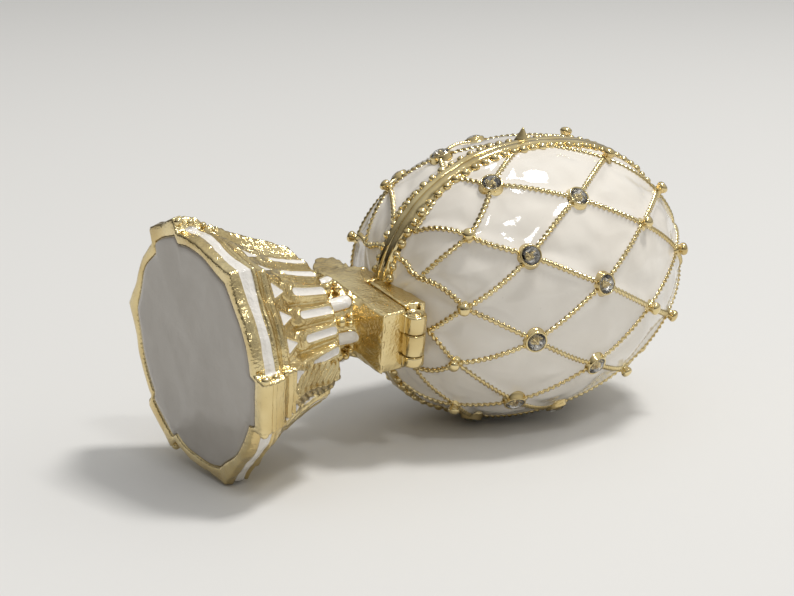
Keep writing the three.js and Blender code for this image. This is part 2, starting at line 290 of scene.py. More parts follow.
class Nodes:
    """Short ways to write a node tree."""

    def __init__(self, tree: bpy.types.NodeTree) -> None:
        """Starts on a tree."""
        self.tree = tree

    def add(self, kind: str, inputs: dict[str, object] | None = None, **settings: object) -> bpy.types.Node:
        """Adds a node.

        Args:
            kind: The node's type.
            inputs: Its inputs by name, each a value or another node's socket.
            **settings: Properties of the node.

        Returns:
            The node.
        """
        node = self.tree.nodes.new(kind)
        for key, value in settings.items():
            setattr(node, key, value)
        for key, value in (inputs or {}).items():
            socket = node.inputs[key]
            if isinstance(value, bpy.types.NodeSocket):
                self.tree.links.new(value, socket)
            else:
                socket.default_value = value
        return node

    def ramp(self, value: bpy.types.NodeSocket, low: float, high: float, start: float = 0.0,
             end: float = 1.0) -> bpy.types.NodeSocket:
        """Maps a range of values to another.

        Args:
            value: The socket to read.
            low: Value that gives start.
            high: Value that gives end.
            start: First result.
            end: Last result.

        Returns:
            The result's socket.
        """
        node = self.add("ShaderNodeMapRange", {"Value": value, "From Min": low, "From Max": high,
                                               "To Min": start, "To Max": end})
        return node.outputs["Result"]

    def mix(self, factor: object, first: object, second: object) -> bpy.types.NodeSocket:
        """Mixes two colours.

        Args:
            factor: How much of the second.
            first: A colour or its socket.
            second: A colour or its socket.

        Returns:
            The mixed colour's socket.
        """
        node = self.add("ShaderNodeMix", data_type="RGBA")
        for index, value in ((0, factor), (6, first), (7, second)):
            if isinstance(value, bpy.types.NodeSocket):
                self.tree.links.new(value, node.inputs[index])
            else:
                node.inputs[index].default_value = value
        return node.outputs[2]


Colour = tuple[float, float, float, float]


class SurfaceGroups:
    """Node groups that more than one finish uses; each is built once."""

    def __init__(self) -> None:
        """Builds the groups."""
        self.metal = self._metal()
        self.enamel = self._enamel()

    @staticmethod
    def _tree(name: str, sockets_in: tuple[tuple[str, str], ...],
              sockets_out: tuple[tuple[str, str], ...]) -> bpy.types.NodeTree:
        """An empty group with named sockets.

        Args:
            name: The group's name.
            sockets_in: Names and types of its inputs.
            sockets_out: Names and types of its outputs.

        Returns:
            The group.
        """
        tree = bpy.data.node_groups.new(name, "ShaderNodeTree")
        for label, kind in sockets_in:
            tree.interface.new_socket(label, in_out="INPUT", socket_type=kind)
        for label, kind in sockets_out:
            tree.interface.new_socket(label, in_out="OUTPUT", socket_type=kind)
        return tree

    def _metal(self) -> bpy.types.NodeTree:
        """Cast and plated metal: fine pits, soft waves, tarnish in patches."""
        tree = self._tree(
            "plated_casting",
            (("Bright", "NodeSocketColor"), ("Deep", "NodeSocketColor"), ("Grain", "NodeSocketFloat"),
             ("Gloss", "NodeSocketFloat")),
            (("Color", "NodeSocketColor"), ("Roughness", "NodeSocketFloat"), ("Height", "NodeSocketFloat")))
        nodes = Nodes(tree)
        inputs = nodes.add("NodeGroupInput")
        place = nodes.add("ShaderNodeTexCoord").outputs["Object"]
        waves = nodes.add("ShaderNodeTexNoise", {"Vector": place, "Scale": 420.0, "Detail": 3.0})
        pits = nodes.add("ShaderNodeTexNoise", {"Vector": place, "Scale": 2600.0, "Detail": 4.0})
        patches = nodes.add("ShaderNodeTexNoise", {"Vector": place, "Scale": 170.0, "Detail": 2.0})
        shade = nodes.ramp(patches.outputs["Fac"], 0.35, 0.7)
        colour = nodes.mix(shade, inputs.outputs["Bright"], inputs.outputs["Deep"])
        rough = nodes.ramp(pits.outputs["Fac"], 0.3, 0.75, -0.04, 0.1)
        total = nodes.add("ShaderNodeMath", {0: inputs.outputs["Gloss"], 1: rough}, operation="ADD")
        fine = nodes.add("ShaderNodeMath", {0: pits.outputs["Fac"], 1: inputs.outputs["Grain"]},
                         operation="MULTIPLY")
        height = nodes.add("ShaderNodeMath", {0: waves.outputs["Fac"], 1: fine.outputs[0]}, operation="ADD")
        nodes.add("NodeGroupOutput", {"Color": colour, "Roughness": total.outputs[0],
                                      "Height": height.outputs[0]})
        return tree

    def _enamel(self) -> bpy.types.NodeTree:
        """Fired enamel: a slow swell, faint clouds and a few specks."""
        tree = self._tree(
            "poured_enamel",
            (("Body", "NodeSocketColor"), ("Cloud", "NodeSocketColor"), ("Gloss", "NodeSocketFloat")),
            (("Color", "NodeSocketColor"), ("Roughness", "NodeSocketFloat"), ("Height", "NodeSocketFloat")))
        nodes = Nodes(tree)
        inputs = nodes.add("NodeGroupInput")
        place = nodes.add("ShaderNodeTexCoord").outputs["Object"]
        swell = nodes.add("ShaderNodeTexNoise", {"Vector": place, "Scale": 210.0, "Detail": 1.0})
        clouds = nodes.add("ShaderNodeTexNoise", {"Vector": place, "Scale": 130.0, "Detail": 3.0})
        specks = nodes.add("ShaderNodeTexNoise", {"Vector": place, "Scale": 3200.0, "Detail": 2.0})
        colour = nodes.mix(nodes.ramp(clouds.outputs["Fac"], 0.35, 0.75), inputs.outputs["Body"],
                           inputs.outputs["Cloud"])
        marks = nodes.ramp(specks.outputs["Fac"], 0.72, 0.8, 0.0, 0.25)
        speckled = nodes.mix(marks, colour, (0.32, 0.30, 0.28, 1.0))
        rough = nodes.ramp(clouds.outputs["Fac"], 0.3, 0.8, 0.0, 0.06)
        total = nodes.add("ShaderNodeMath", {0: inputs.outputs["Gloss"], 1: rough}, operation="ADD")
        nodes.add("NodeGroupOutput", {"Color": speckled, "Roughness": total.outputs[0],
                                      "Height": swell.outputs["Fac"]})
        return tree


@dataclass(frozen=True)
class GoldFinish:
    """Gold plate over a casting."""

    name: str
    bright: Colour = (0.84, 0.70, 0.385, 1.0)
    deep: Colour = (0.62, 0.47, 0.21, 1.0)
    grain: float = 0.35
    gloss: float = 0.13
    relief: float = 0.00005

    def shade(self, nodes: Nodes, groups: SurfaceGroups) -> bpy.types.Node:
        """Places the metal group with this finish's values.

        Args:
            nodes: The material's tree.
            groups: The shared groups.

        Returns:
            The group's node.
        """
        return placed_group(nodes, groups.metal, {"Bright": self.bright, "Deep": self.deep,
                                                  "Grain": self.grain, "Gloss": self.gloss})

    def material(self, groups: SurfaceGroups) -> bpy.types.Material:
        """The finish as a material of its own.

        Args:
            groups: The shared groups.

        Returns:
            The material.
        """
        material, nodes, shader = blank_material(self.name)
        group = self.shade(nodes, groups)
        shader.inputs["Metallic"].default_value = 1.0
        join_surface(nodes, shader, group, self.relief)
        return material


@dataclass(frozen=True)
class EnamelFinish:
    """Glossy fired enamel."""

    name: str
    body: Colour = (0.84, 0.795, 0.72, 1.0)
    cloud: Colour = (0.78, 0.73, 0.65, 1.0)
    gloss: float = 0.07
    relief: float = 0.0006
    coat: float = 0.6
    coat_roughness: float = 0.03

    def shade(self, nodes: Nodes, groups: SurfaceGroups) -> bpy.types.Node:
        """Places the enamel group with this finish's values.

        Args:
            nodes: The material's tree.
            groups: The shared groups.

        Returns:
            The group's node.
        """
        return placed_group(nodes, groups.enamel, {"Body": self.body, "Cloud": self.cloud,
                                                   "Gloss": self.gloss})

    def material(self, groups: SurfaceGroups) -> bpy.types.Material:
        """The finish as a material of its own.

        Args:
            groups: The shared groups.

        Returns:
            The material.
        """
        material, nodes, shader = blank_material(self.name)
        group = self.shade(nodes, groups)
        shader.inputs["Coat Weight"].default_value = self.coat
        shader.inputs["Coat Roughness"].default_value = self.coat_roughness
        join_surface(nodes, shader, group, self.relief)
        return material


@dataclass(frozen=True)
class InlaidFinish:
    """Gold with enamel inlaid where the mesh's inlay field is above zero."""

    name: str
    gold: GoldFinish
    enamel: EnamelFinish
    blur: float = 0.03

    def material(self, groups: SurfaceGroups) -> bpy.types.Material:
        """The finish as a material.

        Args:
            groups: The shared groups.

        Returns:
            The material.
        """
        material, nodes, shader = blank_material(self.name)
        metal = self.gold.shade(nodes, groups)
        glass = self.enamel.shade(nodes, groups)
        field_node = nodes.add("ShaderNodeAttribute", attribute_name="inlay")
        share = nodes.ramp(field_node.outputs["Fac"], -self.blur, self.blur)
        colour = nodes.mix(share, metal.outputs["Color"], glass.outputs["Color"])
        rough = nodes.add("ShaderNodeMix", {0: share, 2: metal.outputs["Roughness"],
                                            3: glass.outputs["Roughness"]}, data_type="FLOAT")
        metallic = nodes.ramp(share, 0.0, 1.0, 1.0, 0.0)
        height = nodes.add("ShaderNodeBump", {"Height": metal.outputs["Height"],
                                              "Distance": self.gold.relief, "Strength": 1.0})
        nodes.tree.links.new(colour, shader.inputs["Base Color"])
        nodes.tree.links.new(rough.outputs[0], shader.inputs["Roughness"])
        nodes.tree.links.new(metallic, shader.inputs["Metallic"])
        nodes.tree.links.new(height.outputs["Normal"], shader.inputs["Normal"])
        return material


@dataclass(frozen=True)
class StoneFinish:
    """Clear cut stone."""

    name: str = "clear_stone"
    tint: Colour = (0.95, 0.95, 0.94, 1.0)
    index: float = 1.62

    def material(self) -> bpy.types.Material:
        """The finish as a material."""
        material, _, shader = blank_material(self.name)
        shader.inputs["Base Color"].default_value = self.tint
        shader.inputs["Roughness"].default_value = 0.0
        shader.inputs["IOR"].default_value = self.index
        shader.inputs["Transmission Weight"].default_value = 1.0
        return material


@dataclass(frozen=True)
class FoilFinish:
    """Silver foil behind a stone."""

    name: str = "silver_foil"
    tint: Colour = (0.80, 0.79, 0.77, 1.0)

    def material(self, groups: SurfaceGroups) -> bpy.types.Material:
        """The finish as a material.

        Args:
            groups: The shared groups.

        Returns:
            The material.
        """
        material, nodes, shader = blank_material(self.name)
        group = placed_group(nodes, groups.metal, {"Bright": self.tint, "Deep": (0.5, 0.49, 0.47, 1.0),
                                                   "Grain": 0.2, "Gloss": 0.06})
        shader.inputs["Metallic"].default_value = 1.0
        nodes.tree.links.new(group.outputs["Color"], shader.inputs["Base Color"])
        nodes.tree.links.new(group.outputs["Roughness"], shader.inputs["Roughness"])
        return material


def placed_group(nodes: Nodes, tree: bpy.types.NodeTree, values: dict[str, object]) -> bpy.types.Node:
    """Adds a shared group to a material.

    Args:
        nodes: The material's tree.
        tree: The group.
        values: Its inputs by name.

    Returns:
        The group's node.
    """
    node = nodes.add("ShaderNodeGroup", node_tree=tree)
    for key, value in values.items():
        node.inputs[key].default_value = value
    return node


def join_surface(nodes: Nodes, shader: bpy.types.Node, group: bpy.types.Node, relief: float) -> None:
    """Joins a shared group's colour, roughness and height to a shader.

    Args:
        nodes: The material's tree.
        shader: The material's shader.
        group: The placed group.
        relief: How high its height stands, in metres.
    """
    height = nodes.add("ShaderNodeBump", {"Height": group.outputs["Height"], "Distance": relief,
                                          "Strength": 1.0})
    nodes.tree.links.new(group.outputs["Color"], shader.inputs["Base Color"])
    nodes.tree.links.new(group.outputs["Roughness"], shader.inputs["Roughness"])
    nodes.tree.links.new(height.outputs["Normal"], shader.inputs["Normal"])


def blank_material(name: str) -> tuple[bpy.types.Material, Nodes, bpy.types.Node]:
    """A material with only its shader and output.

    Args:
        name: The material's name.

    Returns:
        The material, its tree and its shader.
    """
    material = bpy.data.materials.new(name)
    material.use_nodes = True
    material.node_tree.nodes.clear()
    nodes = Nodes(material.node_tree)
    shader = nodes.add("ShaderNodeBsdfPrincipled")
    nodes.add("ShaderNodeOutputMaterial", {"Surface": shader.outputs["BSDF"]})
    return material, nodes, shader


class Palette:
    """Every material of the box."""

    def __init__(self) -> None:
        """Makes the materials."""
        groups = SurfaceGroups()
        cast = GoldFinish("cast_gold", grain=0.6, gloss=0.13, relief=0.00017)
        white = EnamelFinish("inlay_enamel", body=(0.84, 0.81, 0.76, 1.0), cloud=(0.78, 0.75, 0.70, 1.0))
        self.polished = GoldFinish("polished_gold", gloss=0.09).material(groups)
        self.wire = GoldFinish("wire_gold", gloss=0.1, grain=0.2, relief=0.00002).material(groups)
        self.cast = cast.material(groups)
        self.foot = InlaidFinish("inlaid_casting", cast, white).material(groups)
        self.egg = EnamelFinish("egg_enamel").material(groups)
        # This mid grey-brown is partly the panel's own white-grey enamel and partly painted shade, with a
        # painted reflection of the dim table, because the underside faces away from the light.
        self.panel = EnamelFinish("panel_enamel_painted_shade", body=(0.44, 0.405, 0.36, 1.0),
                                  cloud=(0.38, 0.345, 0.30, 1.0), gloss=0.05, relief=0.0003).material(groups)
        self.stone = StoneFinish().material()
        self.foil = FoilFinish().material(groups)


# --- Egg ----------------------------------------------------------------------------------------


@dataclass
class EggForm:
    """The egg's surface and the places of its lattice, in millimetres."""

    radius: float = 19.0
    middle: float = 50.2
    top: float = 27.0
    bottom: float = 21.5
    top_power: float = 2.06
    bottom_power: float = 2.24
    wall: float = 1.4
    row_heights: tuple[float, ...] = (30.5, 35.2, 41.6, 51.7, 60.6, 68.75, 74.0)
    steps: int = 10
    low_row_drop: float = 6.9
    neck_fan: float = 0.3
    # The wires are laid by hand: they rise toward the seam low down and toward the crown, and sag between.
    seam_rise: float = 0.5
    crown_rise: float = 0.45
    low_sag: float = 0.15

    @property
    def top_row(self) -> float:
        """Row number of the upper pole."""
        return float(len(self.row_heights))

    def section(self, latitude: Array, lift: Array | float = 0.0) -> tuple[Array, Array, Array, Array]:
        """Radius and height of the surface at a latitude, and its normal.

        Args:
            latitude: In radians.
            lift: Distance off the enamel.

        Returns:
            Radius, height, and the normal's outward and upward parts.
        """
        upper = latitude > 0
        reach = np.where(upper, self.top, self.bottom)
        power = np.where(upper, self.top_power, self.bottom_power)
        cos = np.maximum(np.cos(latitude), 0.0)
        sin = np.abs(np.sin(latitude))
        radius = self.radius * cos ** (2 / power)
        rise = reach * sin ** (2 / power)
        sign = np.where(upper, 1.0, -1.0)
        out = (radius / self.radius) ** (power - 1) / self.radius
        up = sign * (rise / reach) ** (power - 1) / reach
        length = np.hypot(out, up)
        out, up = out / length, up / length
        return radius + lift * out, self.middle + sign * rise + lift * up, out, up

    def latitude_of_height(self, height: float) -> float:
        """The latitude at which the surface passes a height."""
        rise = height - self.middle
        reach, power = (self.top, self.top_power) if rise > 0 else (self.bottom, self.bottom_power)
        return math.copysign(math.asin((abs(rise) / reach) ** (power / 2)), rise)

    def row_latitude(self, row: Array) -> Array:
        """Latitude of a place between the lattice's rows; the poles are the rows at both ends."""
        stops = [-math.pi / 2, *(self.latitude_of_height(h) for h in self.row_heights), math.pi / 2]
        return np.interp(row, np.arange(len(stops)) - 1.0, stops)

    def strayed(self, row: Array, step: Array) -> tuple[Array, Array]:
        """Moves lattice places the way the hand-laid wires stray from the even lattice.

        Args:
            row: Row numbers.
            step: Steps round the egg.

        Returns:
            The moved rows and steps; the back half mirrors the lid.
        """
        mirrored = step > self.steps / 2
        along = np.where(mirrored, self.steps - step, step)
        to_seam = np.minimum(along, self.steps / 2 - along)
        rise = self.seam_rise * np.clip(1.25 - to_seam, 0.0, 1.0) * np.clip(2.0 - row, 0.0, 1.0)
        crown = self.crown_rise * smooth(3.0, 5.0, row) * np.clip(1.0 - along / 3.0, 0.0, 1.0)
        sag = self.low_sag * bump(along - 2.8, 0.7) * bump(row - 1.4, 0.8)
        shift = np.where(mirrored, 0.5, -0.5) * crown
        return row + rise + crown - sag, step + shift

    def place(self, row: Array, step: Array, lift: Array | float = 0.0) -> tuple[Array, Array]:
        """Points on the egg at lattice places.

        Args:
            row: Row numbers.
            step: Steps round the egg, from the seam at -X.
            lift: Distance off the enamel.

        Returns:
            The points and the outward normals, one row each.
        """
        row, step = np.broadcast_arrays(np.asarray(row, float), np.asarray(step, float))
        half = self.steps / 2
        in_half = np.mod(step, half)
        from_middle = np.abs(in_half - half / 2)
        near_first = np.maximum(0.0, 1.0 - np.abs(row - 1.0))
        drop = math.radians(self.low_row_drop) * near_first * np.clip(1.5 - from_middle, 0.0, 1.0)
        near_neck = np.clip(1.0 - row, 0.0, 1.0)
        spread = self.neck_fan * near_neck * np.sin(TURN * (half / 2 - in_half) / half)
        own_row, own_step = self.strayed(row, step)
        angle = (own_step - spread) * TURN / self.steps
        radius, height, out, up = self.section(self.row_latitude(own_row) - drop, lift)
        points = np.stack([-radius * np.cos(angle), -radius * np.sin(angle), height], axis=-1)
        normals = np.stack([-out * np.cos(angle), -out * np.sin(angle), up], axis=-1)
        return points, normals

    def wire_distance(self, row: Array, step: Array) -> Array:
        """Rough distance from a lattice place to the nearest wire, in millimetres."""
        shares = [np.abs(np.mod(step + sign * row / 2, 1.0) - 0.5) for sign in (-1.0, 1.0)]
        radius = self.section(self.row_latitude(row))[0]
        return np.minimum(*shares) * (TURN / self.steps) * 0.86 * radius

    def upright(self, row: float, step: float, lift: float = 0.0) -> Matrix:
        """A frame that stands on the egg at a lattice place.

        Args:
            row: Row number.
            step: Step round the egg.
            lift: Distance off the enamel.

        Returns:
            The frame's matrix; its +Z is the outward normal.
        """
        point, normal = self.place(row, step, lift)
        turn = Vector((0, 0, 1)).rotation_difference(Vector(normal)).to_matrix().to_4x4()
        return Matrix.Translation(Vector(point)) @ turn

    def seam_point(self, around: Array, lift: Array | float, across: Array | float) -> Array:
        """Points beside the seam.

        Args:
            around: Angle round the seam plane from +X toward +Z, in radians.
            lift: Distance off the enamel.
            across: Distance from the seam plane along Y.

        Returns:
            The points, one row each.
        """
        latitude = np.arcsin(np.sin(around))
        radius, height, _, _ = self.section(latitude, lift)
        side = np.where(np.cos(around) < 0, -1.0, 1.0)
        return np.stack([side * radius, np.broadcast_to(across, radius.shape), height], axis=-1)


@dataclass
class HalfEgg:
    """One half of the egg: its shell, wires, knobs, stones and seam band."""

    half: Half
    form: EggForm
    seam_gap: float = 0.3
    seam_face: float = 0.05
    band_width: float = 1.0
    band_height: float = 0.8
    bead_radius: float = 0.62
    bead_pitch: float = 1.6
    bead_strip: float = 0.85
    wire_width: float = 0.9
    wire_lay: float = 1.56
    wire_lift: float = 0.14
    knob_rows: tuple[int, ...] = (1, 4, 5)
    stone_rows: tuple[int, ...] = (2, 3)
    seam_start: tuple[float, float] = (-4.6, 4.6)

    def crossings(self, row: int) -> list[float]:
        """Steps of a row's crossings that lie inside this half."""
        first = 0.5 if row % 2 == 0 else 1.0
        return [self.half.first_step + first + n for n in range(5) if first + n < self.form.steps / 2]

    def build(self, palette: Palette) -> None:
        """Builds every piece of the half.

        Args:
            palette: The box's materials.
        """
        title, body = self.half.title, self.half.body
        node = f"egg_{title}_shell"
        finished(f"{title}_enamelled_shell", self.shell(), [palette.egg, palette.polished], body,
                 (node,))
        finished(f"{title}_wirework", self.wirework(), [palette.wire], body)
        for part, shape in (("knobs", self.knobs), ("collars", self.collars), ("seam_band", self.seam_band),
                            ("bead_row", self.bead_row)):
            finished(f"{title}_{part}", shape(), [palette.polished], body)
        places = [(row, step) for row in self.stone_rows for step in self.crossings(row)]
        for number, (row, step) in enumerate(places, start=1):
            finished(f"{title}_stone_{number:02d}", self.stone(row, step), [palette.stone, palette.foil],
                     body, (f"{title}_crystal_{number:02d}",), flat=True)

    def shell(self) -> bmesh.types.BMesh:
        """The enamelled skin outside and the plated cup inside, joined under the seam band."""
        form, side = self.form, self.half.value
        cut = self.seam_gap / 2 + self.band_width * 0.6
        sheets = []
        for is_outer, steps, rows in ((True, 200, 190), (False, 60, 50)):
            profile = [(BLANK_RADIUS, row) for row in np.linspace(-1.0, form.top_row, rows)]
            sheet = spun(profile, steps, math.pi)
            places = places_of(sheet)
            angle = np.arctan2(places[:, 1], places[:, 0])
            step = self.half.first_step + np.abs(angle) / TURN * form.steps
            row = places[:, 2]
            points, _ = form.place(row, step, self.enamel_lift(row, step) if is_outer else -form.wall)
            move_to(sheet, points)
            bmesh.ops.remove_doubles(sheet, verts=sheet.verts, dist=1e-4)
            plane = {"plane_co": (0, side * cut, 0), "plane_no": (0, side, 0)}
            geometry = sheet.verts[:] + sheet.edges[:] + sheet.faces[:]
            bmesh.ops.bisect_plane(sheet, geom=geometry, clear_inner=True, **plane)
            for face in sheet.faces:
                face.material_index = 0 if is_outer else 1
            sheets.append(sheet)
        whole = gathered(sheets)
        rims = [edge for edge in whole.edges if edge.is_boundary]
        bmesh.ops.bridge_loops(whole, edges=rims)
        bmesh.ops.recalc_face_normals(whole, faces=whole.faces)
        return whole

    def enamel_lift(self, row: Array, step: Array) -> Array:
        """How the enamel swells inside its cells and climbs up to the wires.

        Args:
            row: Row numbers.
            step: Steps round the egg.

        Returns:
            Distance off the egg's plain form.
        """
        distance = self.form.wire_distance(row, step)
        points, _ = self.form.place(row, step)
        edge = np.abs(points[:, 1]) - self.seam_gap / 2 - self.band_width - self.bead_strip
        distance = np.minimum(distance, np.maximum(edge, 0.0))
        pillow = 0.14 * smooth(1.6, 4.2, distance)
        meniscus = 0.34 * bump(distance, 0.8)
        wobble = 0.13 * ripples(points, 6.5, seed=4 + self.half.value) * smooth(0.5, 2.0, distance)
        return pillow + meniscus + wobble - 0.08

    def wires(self) -> list[Array]:
        """Paths of the lattice's wires, from crossing to crossing."""
        form = self.form
        first, last = self.half.first_step, self.half.first_step + form.steps / 2
        paths = []
        share = np.linspace(0.0, 1.0, 84)
        for row in range(int(form.top_row)):
            shift = 0.5 if row % 2 == 0 else 0.0
            for start in np.arange(first + shift, last + 0.01, 1.0):
                for lean in (-0.5, 0.5):
                    step = start + lean * share
                    inside = (step >= first - 1e-6) & (step <= last + 1e-6)
                    if row == int(form.top_row) - 1:
                        inside &= share < 0.85
                    if inside.sum() < 8:
                        continue
                    points, _ = form.place(row + share[inside], step[inside], self.wire_lift)
                    points = points[np.abs(points[:, 1]) > self.seam_gap / 2 + self.band_width]
                    if len(points) > 8:
                        paths.append(points)
        return paths + self.neck_ropes()

    def neck_ropes(self) -> list[Array]:
        """Paths of the two ropes that run from a crossing of row 0 to the seam by the neck."""
        form, first = self.form, self.half.first_step
        share = np.linspace(0.0, 1.0, 60)
        paths = []
        for start, end in ((1.5, 0.42), (3.5, 4.58)):
            rows = 0.06 * np.sin(math.pi * share) - 0.58 * share
            steps = first + start + (end - start) * share
            points, _ = form.place(rows, steps, self.wire_lift)
            paths.append(points[np.abs(points[:, 1]) > 0.9])
        return paths

    def wirework(self) -> bmesh.types.BMesh:
        """All the twisted wires of the half."""
        section = bpy.data.curves.new("strand_section", "CURVE")
        section.dimensions = "2D"
        outline = section.splines.new("POLY")
        count = 10
        outline.points.add(count - 1)
        for number, point in enumerate(outline.points):
            angle = number / count * TURN
            reach = self.wire_width / 2 * (0.77 + 0.23 * math.cos(2 * angle))
            point.co = (reach * math.cos(angle), reach * math.sin(angle), 0.0, 1.0)
        outline.use_cyclic_u = True
        section_object = bpy.data.objects.new("strand_section", section)
        curve = bpy.data.curves.new("wires", "CURVE")
        curve.dimensions = "3D"
        curve.bevel_mode = "OBJECT"
        curve.bevel_object = section_object
        curve.use_fill_caps = True
        for path in self.wires():
            spline = curve.splines.new("POLY")
            spline.points.add(len(path) - 1)
            spline.points.foreach_set("co", np.column_stack([path, np.ones(len(path))]).ravel())
            travelled = np.concatenate([[0.0], np.cumsum(np.linalg.norm(np.diff(path, axis=0), axis=1))])
            spline.points.foreach_set("tilt", travelled * TURN / self.wire_lay)
        holder = bpy.data.objects.new("wires", curve)
        bpy.context.scene.collection.objects.link(holder)
        bpy.context.scene.collection.objects.link(section_object)
        graph = bpy.context.evaluated_depsgraph_get()
        mesh = bpy.data.meshes.new_from_object(holder.evaluated_get(graph))
        bm = bmesh.new()
        bm.from_mesh(mesh)
        for thing in (holder, section_object):
            bpy.data.objects.remove(thing)
        for data in (curve, section):
            bpy.data.curves.remove(data)
        bpy.data.meshes.remove(mesh)
        bmesh.ops.recalc_face_normals(bm, faces=bm.faces)
        return bm

    def knobs(self) -> bmesh.types.BMesh:
        """Little posts with round heads on the crossings that carry no stone."""
        profile = [(0.0, -0.35), (1.0, -0.3), (0.8, 0.08), (0.58, 0.3), (0.52, 0.5), (0.6, 0.72),
                   (0.7, 0.92), (0.7, 1.12), (0.58, 1.32), (0.34, 1.45), (0.0, 1.49)]
        frames = []
        rng = np.random.default_rng(11)
        for row in self.knob_rows:
            for step in self.crossings(row):
                size = rng.uniform(1.12, 1.28)
                tilt = Matrix.Rotation(rng.uniform(-0.12, 0.12), 4, "X")
                frames.append(self.form.upright(row, step) @ tilt @ Matrix.Scale(size, 4))
        return stamped(spun(profile, 20), frames)

    def collars(self) -> bmesh.types.BMesh:
        """The ring that holds each stone."""
        profile = [(0.0, -0.3), (1.85, -0.3), (1.66, 0.08), (1.52, 0.4), (1.5, 0.72), (1.44, 0.84),
                   (1.32, 0.84), (1.25, 0.72), (1.22, 0.3), (0.0, 0.2)]
        frames = [self.form.upright(row, step) for row in self.stone_rows for step in self.crossings(row)]
        return stamped(spun(profile, 36), frames)

    def stone(self, row: float, step: float) -> bmesh.types.BMesh:
        """A brilliant-cut stone: the crown is clear, the pavilion is foiled.

        Args:
            row: Row of its crossing.
            step: Step of its crossing.

        Returns:
            The stone in its place.
        """
        bm = bmesh.new()
        for radius, height, count, shift in ((0.66, 1.22, 8, 0.0), (1.0, 1.04, 8, 0.5), (1.25, 0.8, 16, 0.0),
                                             (1.25, 0.72, 16, 0.0), (0.3, 0.3, 8, 0.5)):
            for number in range(count):
                angle = (number + shift) / count * TURN
                bm.verts.new((radius * math.cos(angle), radius * math.sin(angle), height))
        hull = bmesh.ops.convex_hull(bm, input=bm.verts)
        spare = [item for item in hull["geom_interior"] if isinstance(item, bmesh.types.BMVert)]
        bmesh.ops.delete(bm, geom=spare, context="VERTS")
        bmesh.ops.recalc_face_normals(bm, faces=bm.faces)
        for face in bm.faces:
            face.material_index = 1 if face.normal.z < -0.2 else 0
        spin = Matrix.Rotation(row * 0.7 + step * 1.3, 4, "Z")
        bmesh.ops.transform(bm, matrix=self.form.upright(row, step) @ spin, verts=bm.verts)
        return bm

    def seam_band(self) -> bmesh.types.BMesh:
        """The flat band round the half's open edge."""
        low, high = self.seam_face, self.seam_gap / 2 + self.band_width
        top, foot = self.band_height, -self.form.wall
        strip = high + self.bead_strip
        profile = [(foot, low), (foot, strip), (0.1, strip), (0.26, strip - 0.2), (0.3, high + 0.1),
                   (top - 0.3, high), (top - 0.08, high - 0.1), (top, high - 0.32), (top, low + 0.15),
                   (top - 0.12, low)]
        blank = [(BLANK_RADIUS + lift, across) for lift, across in profile]
        bm = spun(blank, 320, closed=True, axis=(0.0, 1.0, 0.0))
        places = places_of(bm)
        around = np.arctan2(places[:, 2], places[:, 0])
        lift = np.hypot(places[:, 0], places[:, 2]) - BLANK_RADIUS
        points = self.form.seam_point(around, lift, places[:, 1] * self.half.value)
        outer = smooth(0.2, 0.6, lift)
        wobble = 0.05 * outer * ripples(points, 2.6, seed=21)
        points[:, 0] *= 1.0 + wobble / self.form.radius
        points[:, 1] += 0.05 * ripples(points, 1.7, seed=22) * smooth(low + 0.3, high, places[:, 1])
        move_to(bm, points)
        bmesh.ops.recalc_face_normals(bm, faces=bm.faces)
        return bm

    def bead_row(self) -> bmesh.types.BMesh:
        """The row of small balls beside the seam band."""
        rng = np.random.default_rng(31 + self.half.value)
        across = self.seam_gap / 2 + self.band_width + self.bead_radius * 0.75
        fine = np.linspace(-math.pi / 2, 1.5 * math.pi, 2000)
        points = self.form.seam_point(fine, 0.0, 0.0)
        travelled = np.concatenate([[0.0], np.cumsum(np.linalg.norm(np.diff(points, axis=0), axis=1))])
        count = int(travelled[-1] / self.bead_pitch)
        angles = np.interp(np.linspace(0.0, travelled[-1], count, endpoint=False), travelled, fine)
        pattern = bmesh.new()
        bmesh.ops.create_uvsphere(pattern, u_segments=12, v_segments=8, radius=self.bead_radius)
        frames = []
        for angle in angles:
            place = self.form.seam_point(np.array([angle]), 0.24 + rng.uniform(-0.06, 0.06),
                                         self.half.value * (across + rng.uniform(-0.08, 0.08)))[0]
            if self.seam_start[0] < place[0] < self.seam_start[1] and place[2] < self.form.middle:
                continue
            frames.append(Matrix.Translation(place) @ Matrix.Scale(rng.uniform(0.86, 1.14), 4))
        return stamped(pattern, frames)


# --- Foot ---------------------------------------------------------------------------------------


